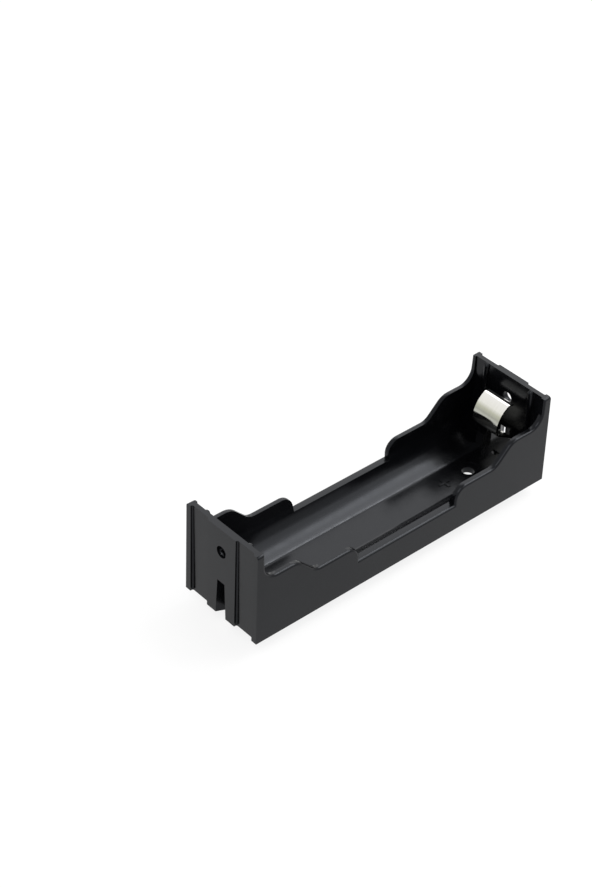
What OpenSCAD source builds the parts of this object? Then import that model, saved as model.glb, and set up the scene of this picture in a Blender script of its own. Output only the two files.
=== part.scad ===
// Cylindrical cell holder for a circuit board.
// One moulded housing carries a single cylindrical cell between two folded strip contacts.
// Each contact is one stamped strip: a sprung leaf above, a blade in the housing, a solder pin below.
// X runs along the cell, Z is up, and the origin is the middle of the board face.

/* [Housing] */
// Length over the end walls
holder_l = 77.7; // [77:0.1:79]
// Width at the base
holder_w = 20.9; // [20.5:0.05:21.5]
// Height of the end walls above the base
holder_h = 21.1; // [20.8:0.1:22.5]
// Thickness of the floor
floor_t = 1.7; // [1.5:0.1:2]
// Draft of each side wall over the full height
side_draft = 0.15; // [0.1:0.05:0.4]
// Draft of each end wall over the full height
end_draft = 0.2; // [0.05:0.05:0.3]

/* [Cell bay] */
// Clear length between the inner faces of the end walls, at the floor
bay_l = 73.9; // [73.5:0.1:74]
// Clear width between the side walls, at the top of the cradle
bay_w = 18.3; // [18:0.1:18.4]
// Draft of the inner faces of all four walls over the full height
bay_draft = 0.2; // [0.1:0.05:0.25]
// Radius of the cradle under the cell
cradle_r = 7.6; // [7.2:0.1:8]
// Height of the centre of the cradle's curve
cradle_z = 9.06; // [8.9:0.02:9.3]

/* [Side wall tops] */
// Height of the finger notch in the middle
notch_z = 6.3; // [5.6:0.1:6.7]
// Half length of the finger notch
notch_x = 12.9; // [12:0.05:14]
// Height of the low step
step_z = 10.25; // [9.8:0.05:10.8]
// Where the ramp leaves the low step
ramp_foot_x = 23.95; // [23.5:0.05:24.4]
// Where the ramp meets the high step
ramp_head_x = 28.5; // [28:0.1:29]
// Height of the high step
shoulder_z = 14.7; // [14.2:0.05:15.2]

/* [End walls] */
// Width of the raised panel in the middle of an end
panel_w = 8.1; // [7.6:0.1:8.6]
// Width of a corner post, from the side inwards
post_w = 1.4; // [1.2:0.1:1.8]
// Depth of the recesses beside the panel
recess_d = 0.65; // [0.5:0.05:0.75]
// Diameter of the round hole
vent_d = 2.6; // [2.2:0.1:3]
// Height of the round hole
vent_z = 15.8; // [15.5:0.1:17]
// Width of the pin slot at its closed top
slot_top_w = 2.1; // [1.8:0.1:2.4]
// Width of the pin slot at the base
slot_foot_w = 2.9; // [2.6:0.1:3.2]
// Height of the pin slot
slot_h = 8.45; // [7.5:0.05:9]

/* [Fixing] */
// Distance between the two screw holes
screw_pitch = 55; // [52:0.5:56]
// Diameter of a screw hole
screw_d = 2.9; // [2.8:0.1:3.4]
// Diameter of the sinking round a screw hole, on the floor
sink_d = 5.2; // [4.6:0.1:5.8]
// Height of the ring bosses that stand on the board
boss_h = 0.2; // [0.1:0.05:0.4]
// Diameter of a ring boss
boss_d = 6; // [5.4:0.1:7]

/* [Contacts] */
// Thickness of the strip
strip_t = 0.4; // [0.3:0.05:0.4]
// Width of the leaf and the blade
strip_w = 6.8; // [6.4:0.1:7]
// Distance of the pins from the middle
pin_x = 36.1; // [35.9:0.05:36.2]
// Width of a solder pin
pin_w = 1.4; // [1:0.1:1.6]
// Reach of a pin below the board face
pin_reach = 3; // [2.5:0.1:4]

/* [Hidden] */

$fn = 96;
over = 1;
corner_over = 0.1;

body_color = [0.09, 0.09, 0.1];
contact_color = [0.8, 0.79, 0.75];

half_l = holder_l / 2;
half_w = holder_w / 2;
bay_end = bay_l / 2;
bay_side = bay_w / 2;

// Radii of the side wall tops, from the notch to the end wall
notch_r = 3;
foot_r = 3;
head_r = 4.2;
end_r = 3.2;

// The side walls start to rise this far inside the end walls' inner faces
rise_in = 0.3;

// The cradle is two arcs whose centres stand this far from the middle plane
cradle_y = bay_side - cradle_r;

// Underside pockets follow the cradle with an even skin, and widen at both ends
skin_t = 1.2;
pocket_in = 5.6;
pocket_out = 8.6;
pocket_end = 34.8;
pocket_wide = 9.3;
pocket_wide_l = 3;

// Ribs that stiffen the inner faces of the end walls
rib_r = 0.7;
rib_y = 6.2;
rib_top = holder_h - 0.02;

recess_r = 0.3;

// Pin opening through the floor, and how much the slot narrows on its way into the bay
pin_gap_w = 2.4;
pin_gap_x = pin_x - 0.8;
slot_draft = 0.4;

// Guide posts that hold the edges of a contact's blade
guide_in = strip_w / 2 - 0.3;
guide_out = 5;
guide_x = 34.6;
guide_top = 5.6;
guide_gap = strip_t + 0.04;
guide_deep = strip_w / 2 + 0.1;

sink_h = 0.1;

// Middle line of the folded strip in the XZ plane, from the pin's tip to the free end
leaf_path = [
    [pin_x, -pin_reach - boss_h],
    [pin_x, 8],
    [31, 10.85],
    [31.77, 15.56],
    [34.45, 16.98]
];
leaf_bends = [0, 1.6, 2, 5.7, 0];
leaf_corner_r = 0.6;
shoulder_r = 0.3;
pin_tip_r = 0.6;

// Plane geometry

function unit(v) = v / norm(v);
function cross2(a, b) = a[0] * b[1] - a[1] * b[0];
function before(list, i) = list[(i + len(list) - 1) % len(list)];
function after(list, i) = list[(i + 1) % len(list)];
function turn_at(list, i) = cross2(list[i] - before(list, i), after(list, i) - list[i]);

// What a fillet of radius r takes off, or fills in, at a corner with edges towards u and v.
// Its apex lies a little past the corner, so that only the tangent points touch the outline.
module corner_piece(corner, u, v, r) {
    half_angle = acos(u * v) / 2;
    bisector = unit(u + v);
    reach = r / tan(half_angle);
    centre = corner + bisector * r / sin(half_angle);
    apex = corner - bisector * corner_over;
    difference() {
        polygon([apex, corner + u * reach, centre, corner + v * reach]);
        translate(centre) circle(r);
    }
}

module corner_of(points, radii, i) {
    towards_last = unit(before(points, i) - points[i]);
    towards_next = unit(after(points, i) - points[i]);
    corner_piece(points[i], towards_last, towards_next, radii[i]);
}

// A polygon, listed anticlockwise, whose corners are true arcs; a radius of 0 leaves one sharp
module rounded_outline(points, radii) {
    difference() {
        union() {
            polygon(points);
            for (i = [0 : len(points) - 1])
                if (radii[i] > 0 && turn_at(points, i) < 0) corner_of(points, radii, i);
        }
        for (i = [0 : len(points) - 1])
            if (radii[i] > 0 && turn_at(points, i) > 0) corner_of(points, radii, i);
    }
}

// Extrusions of plane shapes: one drawn in YZ and run along X, one drawn in XZ and run along Y

module along_x(from, to) {
    multmatrix([[0, 0, 1, from], [1, 0, 0, 0], [0, 1, 0, 0]]) linear_extrude(to - from) children();
}

module along_y(from, to) {
    multmatrix([[1, 0, 0, 0], [0, 0, -1, to], [0, 1, 0, 0]]) linear_extrude(to - from) children();
}

module both_ends() {
    children();
    mirror([1, 0, 0]) children();
}

module both_sides() {
    children();
    mirror([0, 1, 0]) children();
}

// Housing

// Half of the length seen from the side: drafted end, stepped wall top, finger notch
module side_profile() {
    points = [
        [0, 0],
        [half_l, 0],
        [half_l - end_draft, holder_h],
        [bay_end - rise_in + bay_draft, holder_h],
        [bay_end - rise_in, shoulder_z],
        [ramp_head_x, shoulder_z],
        [ramp_foot_x, step_z],
        [notch_x, step_z],
        [notch_x, notch_z],
        [0, notch_z]
    ];
    rounded_outline(points, [0, 0, 0, 0, end_r, head_r, foot_r, notch_r, 0, 0]);
}

module cross_section() {
    polygon([
        [-half_w, 0],
        [half_w, 0],
        [half_w - side_draft, holder_h],
        [side_draft - half_w, holder_h]
    ]);
}

module outer_block() {
    intersection() {
        along_x(-half_l, half_l) cross_section();
        along_y(-half_w, half_w) {
            side_profile();
            mirror([1, 0]) side_profile();
        }
    }
}

// Cell bay: drafted walls above, a cradle of two arcs below, cut off flat at the floor
module bay_section() {
    polygon([
        [-bay_side, cradle_z],
        [bay_side, cradle_z],
        [bay_side + bay_draft, cradle_z + holder_h],
        [-bay_side - bay_draft, cradle_z + holder_h]
    ]);
    intersection() {
        union() {
            for (side = [-1, 1]) translate([side * cradle_y, cradle_z]) circle(cradle_r);
            translate([-cradle_y, 0]) square([2 * cradle_y, cradle_z]);
        }
        translate([-bay_side, floor_t]) square([bay_w, holder_h]);
    }
}

module cell_bay() {
    intersection() {
        along_x(-half_l, half_l) bay_section();
        along_y(-half_w, half_w) polygon([
            [-bay_end, 0],
            [bay_end, 0],
            [bay_end + 2 * bay_draft, 2 * holder_h],
            [-bay_end - 2 * bay_draft, 2 * holder_h]
        ]);
    }
}

module pocket_section(to_y) {
    difference() {
        translate([pocket_in, -over]) square([to_y - pocket_in, cradle_z]);
        translate([cradle_y, cradle_z]) circle(cradle_r + skin_t);
    }
}

module pocket() {
    along_x(-pocket_end, pocket_end) pocket_section(pocket_out);
    both_ends() along_x(pocket_end - pocket_wide_l, pocket_end) pocket_section(pocket_wide);
}

// Recess between the panel and a corner post, with rounded inner corners
module end_recess() {
    panel_side = panel_w / 2;
    post_in = half_w - post_w;
    floor_x = half_l - recess_d;
    translate([0, 0, -over]) linear_extrude(holder_h + 2 * over) rounded_outline([
        [floor_x, panel_side],
        [half_l + over, panel_side],
        [half_l + over, post_in],
        [floor_x, post_in]
    ], [recess_r, 0, 0, recess_r]);
}

module pin_slot() {
    foot = slot_foot_w / 2;
    top = slot_top_w / 2;
    intersection() {
        along_x(bay_end - over, half_l + over)
            polygon([[-foot, 0], [foot, 0], [top, slot_h], [-top, slot_h]]);
        linear_extrude(slot_h) polygon([
            [bay_end - over, slot_draft - top],
            [bay_end + bay_draft, slot_draft - top],
            [half_l, -foot],
            [half_l + over, -foot],
            [half_l + over, foot],
            [half_l, foot],
            [bay_end + bay_draft, top - slot_draft],
            [bay_end - over, top - slot_draft]
        ]);
    }
    translate([pin_gap_x, -pin_gap_w / 2, -over])
        cube([bay_end - pin_gap_x, pin_gap_w, floor_t + 2 * over]);
}

module end_rib() {
    translate([bay_end + bay_draft, rib_y, floor_t]) {
        cylinder(r = rib_r, h = rib_top - rib_r - floor_t);
        translate([0, 0, rib_top - rib_r - floor_t]) sphere(rib_r);
    }
}

module guide_post() {
    difference() {
        translate([guide_x, guide_in, floor_t - 0.5])
            cube([bay_end + 0.5 - guide_x, guide_out - guide_in, guide_top - floor_t + 0.5]);
        translate([pin_x - guide_gap / 2, 0, floor_t])
            cube([guide_gap, guide_deep, holder_h]);
    }
}

module screw_hole() {
    translate([screw_pitch / 2, 0, -boss_h - over]) cylinder(d = screw_d, h = floor_t + boss_h + 2 * over);
    translate([screw_pitch / 2, 0, floor_t - sink_h]) cylinder(d = sink_d, h = sink_h + over);
}

module holder_body() {
    color(body_color) translate([0, 0, boss_h]) difference() {
        union() {
            difference() {
                outer_block();
                cell_bay();
                both_sides() pocket();
                both_ends() both_sides() end_recess();
            }
            both_ends() both_sides() end_rib();
            both_ends() both_sides() guide_post();
            both_ends() translate([screw_pitch / 2, 0, -boss_h]) cylinder(d = boss_d, h = boss_h + 0.5);
        }
        both_ends() pin_slot();
        both_ends() screw_hole();
        both_ends() translate([bay_end - over, 0, vent_z]) rotate([0, 90, 0])
            cylinder(d = vent_d, h = half_l - bay_end + 2 * over);
    }
}

// Contacts

function left_normal(a, b) = [a[1] - b[1], b[0] - a[0]] / norm(b - a);

// Point on one face of the strip beside bend i, d to the left of the middle line
function beside(path, i, d) =
    i == 0 ? path[0] + d * left_normal(path[0], path[1]) :
    i == len(path) - 1 ? path[i] + d * left_normal(path[i - 1], path[i]) :
    let (
        n1 = left_normal(path[i - 1], path[i]),
        n2 = left_normal(path[i], path[i + 1])
    )
    path[i] + (n1 + n2) * d / (1 + n1 * n2);

// Bend radius on that face: smaller on the inside of the turn, larger on the outside
function face_radius(path, bends, i, d) =
    bends[i] == 0 ? 0 : bends[i] - d * sign(cross2(path[i] - path[i - 1], path[i + 1] - path[i]));

module strip_profile(path, bends, t) {
    last = len(path) - 1;
    right_face = [for (i = [0 : last]) beside(path, i, -t / 2)];
    left_face = [for (i = [last : -1 : 0]) beside(path, i, t / 2)];
    right_radii = [for (i = [0 : last]) face_radius(path, bends, i, -t / 2)];
    left_radii = [for (i = [last : -1 : 0]) face_radius(path, bends, i, t / 2)];
    rounded_outline(concat(right_face, left_face), concat(right_radii, left_radii));
}

// Blank of the strip seen along X: wide leaf and blade, shoulders on the floor, narrow pin
module blank_section() {
    half_strip = strip_w / 2;
    half_pin = pin_w / 2;
    tip_z = -pin_reach - boss_h;
    rounded_outline([
        [-half_pin, tip_z],
        [half_pin, tip_z],
        [half_pin, floor_t],
        [half_strip, floor_t],
        [half_strip, holder_h],
        [-half_strip, holder_h],
        [-half_strip, floor_t],
        [-half_pin, floor_t]
    ], [pin_tip_r, pin_tip_r, 0, shoulder_r, 0, 0, shoulder_r, 0]);
}

// Rounding of the leaf's free corners, cut square to the last stretch of the strip
module leaf_corners() {
    last = len(leaf_path) - 1;
    run = unit(leaf_path[last] - leaf_path[last - 1]);
    free_end = leaf_path[last];
    multmatrix([
        [run[0], 0, -run[1], free_end[0]],
        [0, 1, 0, 0],
        [run[1], 0, run[0], free_end[1]]
    ])
        translate([0, 0, -strip_t])
            linear_extrude(2 * strip_t)
                for (side = [-1, 1])
                    corner_piece([0, side * strip_w / 2], [-1, 0], [0, -side], leaf_corner_r);
}

module contact() {
    translate([0, 0, boss_h]) difference() {
        intersection() {
            along_y(-strip_w / 2, strip_w / 2) strip_profile(leaf_path, leaf_bends, strip_t);
            along_x(0, half_l) blank_section();
        }
        leaf_corners();
    }
}

module left_contact() {
    color(contact_color) mirror([1, 0, 0]) contact();
}

module right_contact() {
    color(contact_color) contact();
}

holder_body();
left_contact();
right_contact();
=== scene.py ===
"""Cylindrical cell holder: black moulded housing with two folded nickel strip contacts.

The CAD nodes give the form. This script rounds their moulded and stamped edges, curls the ends of
the contacts, adds the raised polarity marks on the floor, gives each piece its finish, and sets
the stage, lamps and camera. Lengths are in metres.
"""
import math

import bmesh
import bpy
from mathutils import Matrix, Vector


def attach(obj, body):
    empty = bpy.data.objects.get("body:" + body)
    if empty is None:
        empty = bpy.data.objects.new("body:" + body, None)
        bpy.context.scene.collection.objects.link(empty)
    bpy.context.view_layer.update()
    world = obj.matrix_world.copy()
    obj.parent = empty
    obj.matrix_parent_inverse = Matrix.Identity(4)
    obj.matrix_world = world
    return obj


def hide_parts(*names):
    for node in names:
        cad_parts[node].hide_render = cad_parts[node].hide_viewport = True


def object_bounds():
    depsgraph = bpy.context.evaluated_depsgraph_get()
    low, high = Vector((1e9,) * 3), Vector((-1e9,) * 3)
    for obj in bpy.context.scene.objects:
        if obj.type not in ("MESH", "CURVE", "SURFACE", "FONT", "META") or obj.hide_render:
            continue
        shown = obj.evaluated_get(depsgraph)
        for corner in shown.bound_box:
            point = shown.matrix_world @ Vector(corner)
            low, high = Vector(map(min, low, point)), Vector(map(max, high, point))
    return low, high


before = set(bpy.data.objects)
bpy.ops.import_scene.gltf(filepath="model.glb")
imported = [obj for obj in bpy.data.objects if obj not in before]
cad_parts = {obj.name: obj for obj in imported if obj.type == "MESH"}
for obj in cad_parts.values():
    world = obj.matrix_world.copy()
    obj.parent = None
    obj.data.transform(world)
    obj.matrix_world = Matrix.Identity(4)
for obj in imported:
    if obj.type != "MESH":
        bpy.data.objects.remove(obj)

cad_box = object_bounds()

MM = 0.001

# Distances under which points count as one: in a CAD node's mesh, and in a shaped piece
CAD_WELD = 0.002 * MM
PIECE_WELD = 0.0005 * MM

# Edges: faces that meet at less than the first angle are one flat, at more than the second an edge
PLANAR_ANGLE = math.radians(0.6)
EDGE_ANGLE = math.radians(28)
OUTLINE_RADIUS = 0.5 * MM
OUTLINE_STEPS = 5
MOULD_RADIUS = 0.16 * MM
STAMPED_RADIUS = 0.05 * MM
EDGE_STEPS = 2

# Where the housing's side walls lie, and how far their faces' normals may tilt
SIDE_FROM = 9.8 * MM
CORNER_FROM = 38.4 * MM
SIDE_NORMAL = 0.98
DOWN_NORMAL = -0.5

# The strip contacts, as x and z at the one at +X
LEAF_HINGE = (36.1 * MM, 8.6 * MM)
LEAF_END = (34.45 * MM, 16.98 * MM)
LEAF_RISE = math.radians(27.9)
LEAF_LOSS = 0.55 * MM
LEFT_TURN = math.radians(8.0)
CURL_RADIUS = 1.3 * MM
CURL_TURN = math.radians(72)
CURL_STEPS = 10
STRIP_CORNER = 0.6 * MM
CORNER_STEPS = 4
THICKNESS_SLANT = 0.01 * MM

# Raised polarity marks, let into the cradle's flat floor
FLOOR_TOP = 1.9 * MM
MARK_X = 20.6 * MM
MARK_SPAN = 3.0 * MM
MARK_WIDTH = 0.55 * MM
MARK_HEIGHT = 0.2 * MM
MARK_DEPTH = 0.06 * MM
MARK_RADIUS = 0.05 * MM

# Colours at the two ends of each finish's slow variation
BLACK_TONES = ((0.0012, 0.0013, 0.0017), (0.0022, 0.0023, 0.0029))
BLACK_SHEEN = (0.88, 0.92, 1.0, 1.0)
NICKEL_TONES = ((0.76, 0.75, 0.70), (0.90, 0.89, 0.86))

# Painted shade and painted reflection on the strip, from the pin's shoulder to the leaf's top bend,
# by share of the height: the lower leaf darkened as if in shade, with lighter and darker bands
# standing in for reflections
SHADE_RAMP_LOW = 8.0 * MM
SHADE_RAMP_HIGH = 17.0 * MM
PAINTED_SHADE_STOPS = [
    (0.00, (1.00, 1.00, 1.00)),
    (0.06, (0.50, 0.50, 0.47)),
    (0.50, (0.60, 0.60, 0.57)),
    (0.56, (0.74, 0.75, 0.72)),
    (0.61, (0.58, 0.59, 0.56)),
    (0.71, (0.43, 0.44, 0.39)),
    (0.79, (0.58, 0.59, 0.50)),
    (0.87, (0.92, 0.92, 0.89)),
    (1.00, (1.00, 1.00, 1.00)),
]

# Viewpoint fitted to the photograph, about the middle of the housing's base
VIEW_AZIMUTH = -42.380
VIEW_ELEVATION = 38.004
VIEW_ROLL = math.radians(1.876)
VIEW_DISTANCE = 408.36 * MM
VIEW_RIGHT = -14.850 * MM
VIEW_UP = 17.377 * MM
VIEW_BASE = 0.2 * MM
SENSOR = 36.0
PICTURE_HEIGHT = 888
FOCAL_PIXELS = 2041.6

# Paper, its share of plain white for the eye, and the world's light
WHITE = (1, 1, 1, 1)
PAPER_COLOUR = (0.92, 0.92, 0.92, 1)
PAPER_SIZE = 3.0
GLOW_SHARE = 0.84
WORLD_FILL = 0.55

# Lamps: name, azimuth, elevation, distance, size, power in watts
SOFTBOXES = [
    ("key", -70, 55, 0.8, 0.5, 2.2),
    ("rim", 70, 52, 0.8, 0.46, 3.4),
    ("line", 99, 58, 0.8, 0.1, 0.45),
    ("fill", 36, 42, 0.8, 0.5, 1.4),
    ("back", 138, 40, 0.9, 0.7, 2.4),
]


def cleared_tree(owner):
    """The empty node tree of a material or world."""
    owner.use_nodes = True
    owner.node_tree.nodes.clear()
    return owner.node_tree


def add_node(tree, kind, place, **inputs):
    """A shader node at a place in the editor, with its inputs set by name."""
    node = tree.nodes.new(kind)
    node.location = place
    for name, value in inputs.items():
        node.inputs[name.replace("_", " ")].default_value = value
    return node


def add_math(tree, operation, place, *values):
    """Arithmetic on values taken in order, each a number or another node's output."""
    node = add_node(tree, "ShaderNodeMath", place)
    node.operation = operation
    for socket, value in zip(node.inputs, values):
        if isinstance(value, bpy.types.NodeSocket):
            tree.links.new(value, socket)
        else:
            socket.default_value = value
    return node.outputs["Value"]


def add_noise(tree, where, place, scale, detail, roughness=0.5):
    """Noise at a scale given in repeats per metre."""
    node = add_node(
        tree, "ShaderNodeTexNoise", place, Scale=scale, Detail=detail, Roughness=roughness)
    tree.links.new(where, node.inputs["Vector"])
    return node.outputs["Fac"]


def remap(tree, value, place, low, high, from_low=0.3, from_high=0.7):
    """A value brought from one range, a noise's usual one, to another."""
    node = add_node(
        tree, "ShaderNodeMapRange", place, From_Min=from_low, From_Max=from_high, To_Min=low,
        To_Max=high)
    tree.links.new(value, node.inputs["Value"])
    return node.outputs["Result"]


def vary_colour(tree, share, place, tones):
    """A colour between two tones, by a share."""
    node = add_node(tree, "ShaderNodeMix", place)
    node.data_type = "RGBA"
    node.inputs["A"].default_value = (*tones[0], 1.0)
    node.inputs["B"].default_value = (*tones[1], 1.0)
    tree.links.new(share, node.inputs["Factor"])
    return node.outputs["Result"]


def multiply_colours(tree, place, first, second):
    node = add_node(tree, "ShaderNodeMix", place)
    node.data_type = "RGBA"
    node.blend_type = "MULTIPLY"
    node.inputs["Factor"].default_value = 1.0
    tree.links.new(first, node.inputs["A"])
    tree.links.new(second, node.inputs["B"])
    return node.outputs["Result"]


def add_bump(tree, shader, height, strength, distance):
    """Fine surface relief from a height, as deep as a distance."""
    bump = add_node(tree, "ShaderNodeBump", (220, -300), Strength=strength, Distance=distance)
    tree.links.new(height, bump.inputs["Height"])
    tree.links.new(bump.outputs["Normal"], shader.inputs["Normal"])


def start_material(name):
    """A new material, its tree, its Principled shader and the Object coordinates."""
    material = bpy.data.materials.new(name)
    tree = cleared_tree(material)
    output = add_node(tree, "ShaderNodeOutputMaterial", (900, 0))
    shader = add_node(tree, "ShaderNodeBsdfPrincipled", (560, 0))
    tree.links.new(shader.outputs["BSDF"], output.inputs["Surface"])
    place = add_node(tree, "ShaderNodeTexCoord", (-1000, 0))
    return material, tree, shader, place.outputs["Object"]


def moulded_black():
    """Black satin plastic: cloudy colour and gloss, fine mould grain over a slow ripple."""
    material, tree, shader, where = start_material("moulded_black")
    shader.inputs["IOR"].default_value = 1.46
    shader.inputs["Specular IOR Level"].default_value = 0.23
    shader.inputs["Specular Tint"].default_value = BLACK_SHEEN

    cloud = remap(
        tree, add_noise(tree, where, (-760, 260), scale=140.0, detail=4.0), (-500, 260), 0.0, 1.0)
    colour = vary_colour(tree, cloud, (220, 260), BLACK_TONES)
    tree.links.new(colour, shader.inputs["Base Color"])

    gloss = add_noise(tree, where, (-760, 0), scale=420.0, detail=5.0, roughness=0.6)
    tree.links.new(remap(tree, gloss, (-500, 0), 0.17, 0.25), shader.inputs["Roughness"])

    grain = add_noise(tree, where, (-760, -260), scale=5200.0, detail=2.0)
    ripple = add_noise(tree, where, (-760, -460), scale=260.0, detail=2.0)
    relief = add_math(tree, "MULTIPLY_ADD", (-480, -300), grain, 0.25, ripple)
    add_bump(tree, shader, relief, strength=0.35, distance=0.02 * MM)
    return material


def painted_leaf_shade(tree, where):
    """Painted shade and painted reflection bands on the strip, by height above the board face."""
    height = add_node(tree, "ShaderNodeSeparateXYZ", (-600, 480))
    tree.links.new(where, height.inputs["Vector"])
    rise = remap(tree, height.outputs["Z"], (-400, 480), 0.0, 1.0, SHADE_RAMP_LOW, SHADE_RAMP_HIGH)
    ramp = add_node(tree, "ShaderNodeValToRGB", (-200, 480))
    stops = ramp.color_ramp.elements
    for stop, (position, tone) in zip(stops, (PAINTED_SHADE_STOPS[0], PAINTED_SHADE_STOPS[-1])):
        stop.position, stop.color = position, (*tone, 1.0)
    for position, tone in PAINTED_SHADE_STOPS[1:-1]:
        stops.new(position).color = (*tone, 1.0)
    tree.links.new(rise, ramp.inputs["Fac"])
    return ramp.outputs["Color"]


def nickel_strip():
    """Bright nickel on rolled strip: fine lines along it, cloudy gloss, and a lower leaf darkened
    by painted shade and painted reflection bands.
    """
    material, tree, shader, where = start_material("nickel_strip")
    shader.inputs["Metallic"].default_value = 1.0

    along = add_node(tree, "ShaderNodeMapping", (-820, 0), Scale=(60.0, 5200.0, 60.0))
    tree.links.new(where, along.inputs["Vector"])
    lines = add_noise(
        tree, along.outputs["Vector"], (-600, 60), scale=1.0, detail=4.0, roughness=0.65)
    rolled = vary_colour(
        tree, remap(tree, lines, (-340, 260), 0.0, 1.0), (220, 260), NICKEL_TONES)
    # The rolled colour times painted shade and painted reflection by height
    colour = multiply_colours(tree, (380, 420), rolled, painted_leaf_shade(tree, where))
    tree.links.new(colour, shader.inputs["Base Color"])

    cloud = add_noise(tree, where, (-600, -160), scale=500.0, detail=3.0)
    tree.links.new(remap(tree, cloud, (-340, -160), 0.07, 0.12), shader.inputs["Roughness"])
    add_bump(tree, shader, lines, strength=0.15, distance=0.01 * MM)
    return material


def mesh_from(name, bm, material):
    """A mesh of one material from a bmesh, which is freed."""
    mesh = bpy.data.meshes.new(name)
    bm.to_mesh(mesh)
    bm.free()
    mesh.materials.append(material)
    return mesh


def add_object(name, data):
    thing = bpy.data.objects.new(name, data)
    bpy.context.scene.collection.objects.link(thing)
    return thing


def add_piece(name, bm, material):
    """A finished piece from a bmesh, on the root body: shaded smooth, with its flats kept flat."""
    mesh = mesh_from(name, bm, material)
    for face in mesh.polygons:
        face.use_smooth = True
        face.material_index = 0
    piece = add_object(name, mesh)
    shade = piece.modifiers.new("even_faces", "WEIGHTED_NORMAL")
    shade.keep_sharp = True
    shade.weight = 100
    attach(piece, "root")
    return piece


def merged_copy(node):
    """A bmesh of a CAD node with its loose triangles merged into whole faces."""
    bm = bmesh.new()
    bm.from_mesh(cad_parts[node].data)
    bmesh.ops.remove_doubles(bm, verts=bm.verts, dist=CAD_WELD)
    bmesh.ops.dissolve_limit(
        bm, angle_limit=PLANAR_ANGLE, use_dissolve_boundaries=False, verts=bm.verts,
        edges=bm.edges, delimit=set())
    bm.normal_update()
    return bm


def sharp_edges(bm):
    return [e for e in bm.edges if e.is_manifold and e.calc_face_angle(0.0) > EDGE_ANGLE]


def round_edges(bm, edges, radius, steps, clamp=True):
    """A round on edges; clamp keeps it from running past its neighbours."""
    bmesh.ops.bevel(
        bm, geom=edges, offset=radius, offset_type="OFFSET", segments=steps, profile=0.5,
        affect="EDGES", clamp_overlap=clamp, material=-1, loop_slide=True, harden_normals=False)


def side_outline(bm):
    """The top edges of each side wall's outer face, from one corner of the housing to the other."""
    chosen = []
    for edge in sharp_edges(bm):
        if min(abs(v.co.y) for v in edge.verts) < SIDE_FROM:
            continue
        if min(abs(v.co.x) for v in edge.verts) > CORNER_FROM:
            continue
        normals = [face.normal for face in edge.link_faces]
        sideways = max(abs(n.y) for n in normals) > SIDE_NORMAL
        if sideways and min(n.z for n in normals) > DOWN_NORMAL:
            chosen.append(edge)
    return chosen


def rounded_housing(material):
    """The housing with a full round along its side walls' tops and a small one elsewhere."""
    bm = merged_copy("holder_body")
    round_edges(bm, side_outline(bm), OUTLINE_RADIUS, OUTLINE_STEPS, clamp=False)
    round_edges(bm, sharp_edges(bm), MOULD_RADIUS, EDGE_STEPS)
    bmesh.ops.remove_doubles(bm, verts=bm.verts, dist=PIECE_WELD)
    piece = add_piece("housing", bm, material)
    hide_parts("holder_body")


def curl_leaf(bm, side):
    """Cuts the leaf short, sweeps its end round to the end wall and returns the tip's corners."""
    ahead = Vector((side * math.cos(LEAF_RISE), 0.0, math.sin(LEAF_RISE)))
    under = Vector((side * math.sin(LEAF_RISE), 0.0, -math.cos(LEAF_RISE)))
    cut = Vector((side * LEAF_END[0], 0.0, LEAF_END[1])) - ahead * LEAF_LOSS
    made = bmesh.ops.bisect_plane(
        bm, geom=bm.verts[:] + bm.edges[:] + bm.faces[:], dist=PIECE_WELD, plane_co=cut,
        plane_no=ahead, clear_outer=True)
    rim = [e for e in made["geom_cut"] if isinstance(e, bmesh.types.BMEdge)]
    end = bmesh.ops.edgeloop_fill(bm, edges=rim)["faces"]
    swept = bmesh.ops.spin(
        bm, geom=end, cent=cut + under * CURL_RADIUS, axis=(0.0, side, 0.0), dvec=(0, 0, 0),
        angle=CURL_TURN, steps=CURL_STEPS, use_merge=False, use_normal_flip=False,
        use_duplicate=False)
    bmesh.ops.delete(bm, geom=[f for f in end if f.is_valid], context="FACES_ONLY")
    tip = [g for g in swept["geom_last"] if isinstance(g, bmesh.types.BMFace)]
    return [
        e for f in tip for e in f.edges
        if abs(e.verts[0].co.y - e.verts[1].co.y) < THICKNESS_SLANT]


def curled_contact(node, side, turn, material):
    """A strip contact whose leaf ends in a curl towards the end wall, and leans by a turn.

    side is 1 for the contact at +X and -1 for the one at -X.
    """
    bm = merged_copy(node)
    corners = curl_leaf(bm, side)
    bmesh.ops.recalc_face_normals(bm, faces=bm.faces)
    round_edges(bm, corners, STRIP_CORNER, CORNER_STEPS)
    leaf = [v for v in bm.verts if v.co.z > LEAF_HINGE[1]]
    hinge = Vector((side * LEAF_HINGE[0], 0.0, LEAF_HINGE[1]))
    bmesh.ops.rotate(bm, cent=hinge, matrix=Matrix.Rotation(side * turn, 3, "Y"), verts=leaf)
    round_edges(bm, sharp_edges(bm), STAMPED_RADIUS, EDGE_STEPS)
    for edge in sharp_edges(bm):
        edge.smooth = False
    piece = add_piece(node + "_curled", bm, material)
    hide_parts(node)


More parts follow.
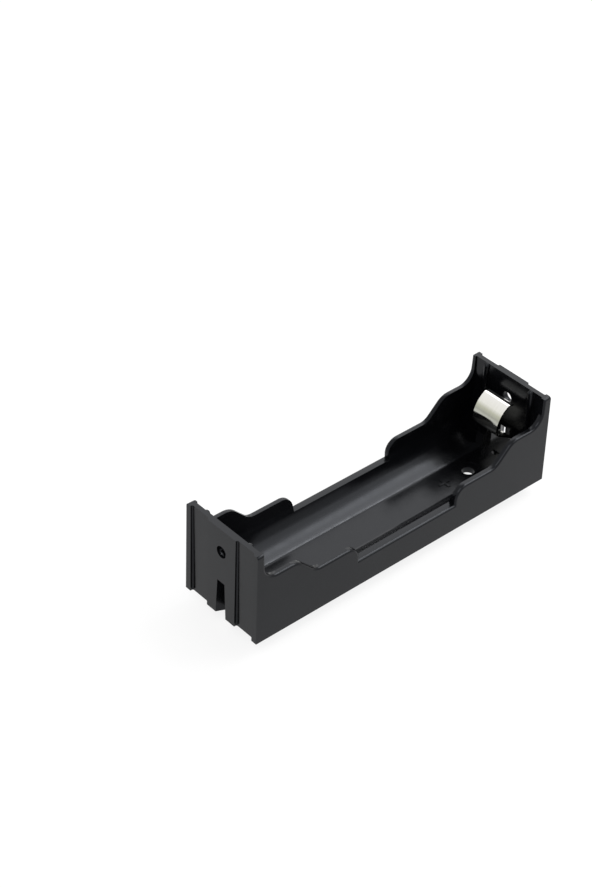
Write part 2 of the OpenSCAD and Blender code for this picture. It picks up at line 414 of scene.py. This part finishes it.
def polarity_mark(name, centre, crossed, material):
    """A raised plus or minus on the floor, one closed solid."""
    arm, half = MARK_SPAN / 2, MARK_WIDTH / 2
    outline = [(arm, -half), (arm, half), (-arm, half), (-arm, -half)]
    if crossed:
        outline = [
            (arm, -half), (arm, half), (half, half), (half, arm), (-half, arm), (-half, half),
            (-arm, half), (-arm, -half), (-half, -half), (-half, -arm), (half, -arm),
            (half, -half)]
    bm = bmesh.new()
    low = FLOOR_TOP - MARK_DEPTH
    foot = bm.faces.new([bm.verts.new((centre + x, y, low)) for x, y in outline])
    made = bmesh.ops.extrude_face_region(bm, geom=[foot])
    raised = [g for g in made["geom"] if isinstance(g, bmesh.types.BMVert)]
    bmesh.ops.translate(bm, vec=(0, 0, MARK_HEIGHT + MARK_DEPTH), verts=raised)
    bmesh.ops.recalc_face_normals(bm, faces=bm.faces)
    round_edges(bm, list(bm.edges), MARK_RADIUS, EDGE_STEPS)
    add_piece(name, bm, material)


def direction(azimuth, elevation):
    """The unit vector towards an azimuth, counted from the front at -Y, and an elevation."""
    a, e = math.radians(azimuth), math.radians(elevation)
    return Vector((math.sin(a) * math.cos(e), -math.cos(a) * math.cos(e), math.sin(e)))


def set_camera():
    """The photograph's viewpoint: azimuth, elevation and roll, aimed past the housing's middle."""
    back = direction(VIEW_AZIMUTH, VIEW_ELEVATION)
    azimuth = math.radians(VIEW_AZIMUTH)
    level = Vector((math.cos(azimuth), math.sin(azimuth), 0.0))
    upright = back.cross(level)
    right = math.cos(VIEW_ROLL) * level + math.sin(VIEW_ROLL) * upright
    up = -math.sin(VIEW_ROLL) * level + math.cos(VIEW_ROLL) * upright
    data = bpy.data.cameras.new("camera")
    data.sensor_fit = "AUTO"
    data.sensor_width = SENSOR
    data.lens = FOCAL_PIXELS * SENSOR / PICTURE_HEIGHT
    data.clip_start = 0.01
    data.clip_end = 20.0
    camera = add_object("camera", data)
    place = back * VIEW_DISTANCE + right * VIEW_RIGHT + up * VIEW_UP + Vector((0, 0, VIEW_BASE))
    turn = Matrix((right, up, back)).transposed().to_4x4()
    camera.matrix_world = Matrix.Translation(place) @ turn
    bpy.context.scene.camera = camera


def seen_directly(tree, place):
    """1 for camera, glossy and transmission rays, 0 for the light that falls on things."""
    rays = add_node(tree, "ShaderNodeLightPath", place).outputs
    both = add_math(
        tree, "MAXIMUM", (place[0] + 200, place[1]), rays["Is Camera Ray"], rays["Is Glossy Ray"])
    return add_math(
        tree, "MAXIMUM", (place[0] + 400, place[1]), both, rays["Is Transmission Ray"])


def join_shaders(tree, output_kind, share, plain, seen):
    """The plain shader mixed with the one that is seen, by a share, as the tree's result."""
    output = add_node(tree, output_kind, (900, 0))
    mix = add_node(tree, "ShaderNodeMixShader", (520, 0))
    tree.links.new(share, mix.inputs["Fac"])
    tree.links.new(plain, mix.inputs[1])
    tree.links.new(seen, mix.inputs[2])
    tree.links.new(mix.outputs["Shader"], output.inputs["Surface"])


def set_world():
    """A white background for the eye and a soft even fill for the object."""
    world = bpy.data.worlds.new("studio")
    bpy.context.scene.world = world
    tree = cleared_tree(world)
    fill = add_node(
        tree, "ShaderNodeBackground", (250, -100), Color=WHITE, Strength=WORLD_FILL)
    white = add_node(tree, "ShaderNodeBackground", (250, 100), Color=WHITE, Strength=1.0)
    join_shaders(
        tree, "ShaderNodeOutputWorld", seen_directly(tree, (-400, 300)),
        fill.outputs["Background"], white.outputs["Background"])


def white_paper():
    """Paper that glows to white for the eye and keeps a soft shadow."""
    material = bpy.data.materials.new("white_paper")
    tree = cleared_tree(material)
    paper = add_node(tree, "ShaderNodeBsdfDiffuse", (250, -100), Color=PAPER_COLOUR)
    glow = add_node(tree, "ShaderNodeEmission", (250, 100), Color=WHITE, Strength=1.0)
    share = add_math(
        tree, "MULTIPLY", (250, 350), seen_directly(tree, (-500, 350)), GLOW_SHARE)
    join_shaders(
        tree, "ShaderNodeOutputMaterial", share, paper.outputs["BSDF"], glow.outputs["Emission"])
    return material


def set_floor():
    """A sheet of paper at the tips of the solder pins."""
    bm = bmesh.new()
    bmesh.ops.create_grid(bm, x_segments=1, y_segments=1, size=PAPER_SIZE)
    bmesh.ops.translate(bm, vec=(0, 0, cad_box[0].z), verts=bm.verts)
    add_object("paper_floor", mesh_from("paper_floor", bm, white_paper()))


def add_softbox(name, azimuth, elevation, distance, size, power):
    """An area lamp aimed at the middle of the holder."""
    away = direction(azimuth, elevation)
    data = bpy.data.lights.new(name, "AREA")
    data.shape = "SQUARE"
    data.size = size
    data.energy = power
    turn = away.to_track_quat("Z", "Y").to_matrix().to_4x4()
    add_object(name, data).matrix_world = Matrix.Translation(away * distance) @ turn


black = moulded_black()
nickel = nickel_strip()
rounded_housing(black)
curled_contact("left_contact", -1, LEFT_TURN, nickel)
curled_contact("right_contact", 1, 0.0, nickel)
polarity_mark("plus_mark", MARK_X, True, black)
polarity_mark("minus_mark", -MARK_X, False, black)

set_camera()
set_world()
set_floor()
for softbox in SOFTBOXES:
    add_softbox(*softbox)

bpy.context.scene.view_settings.view_transform = "Standard"
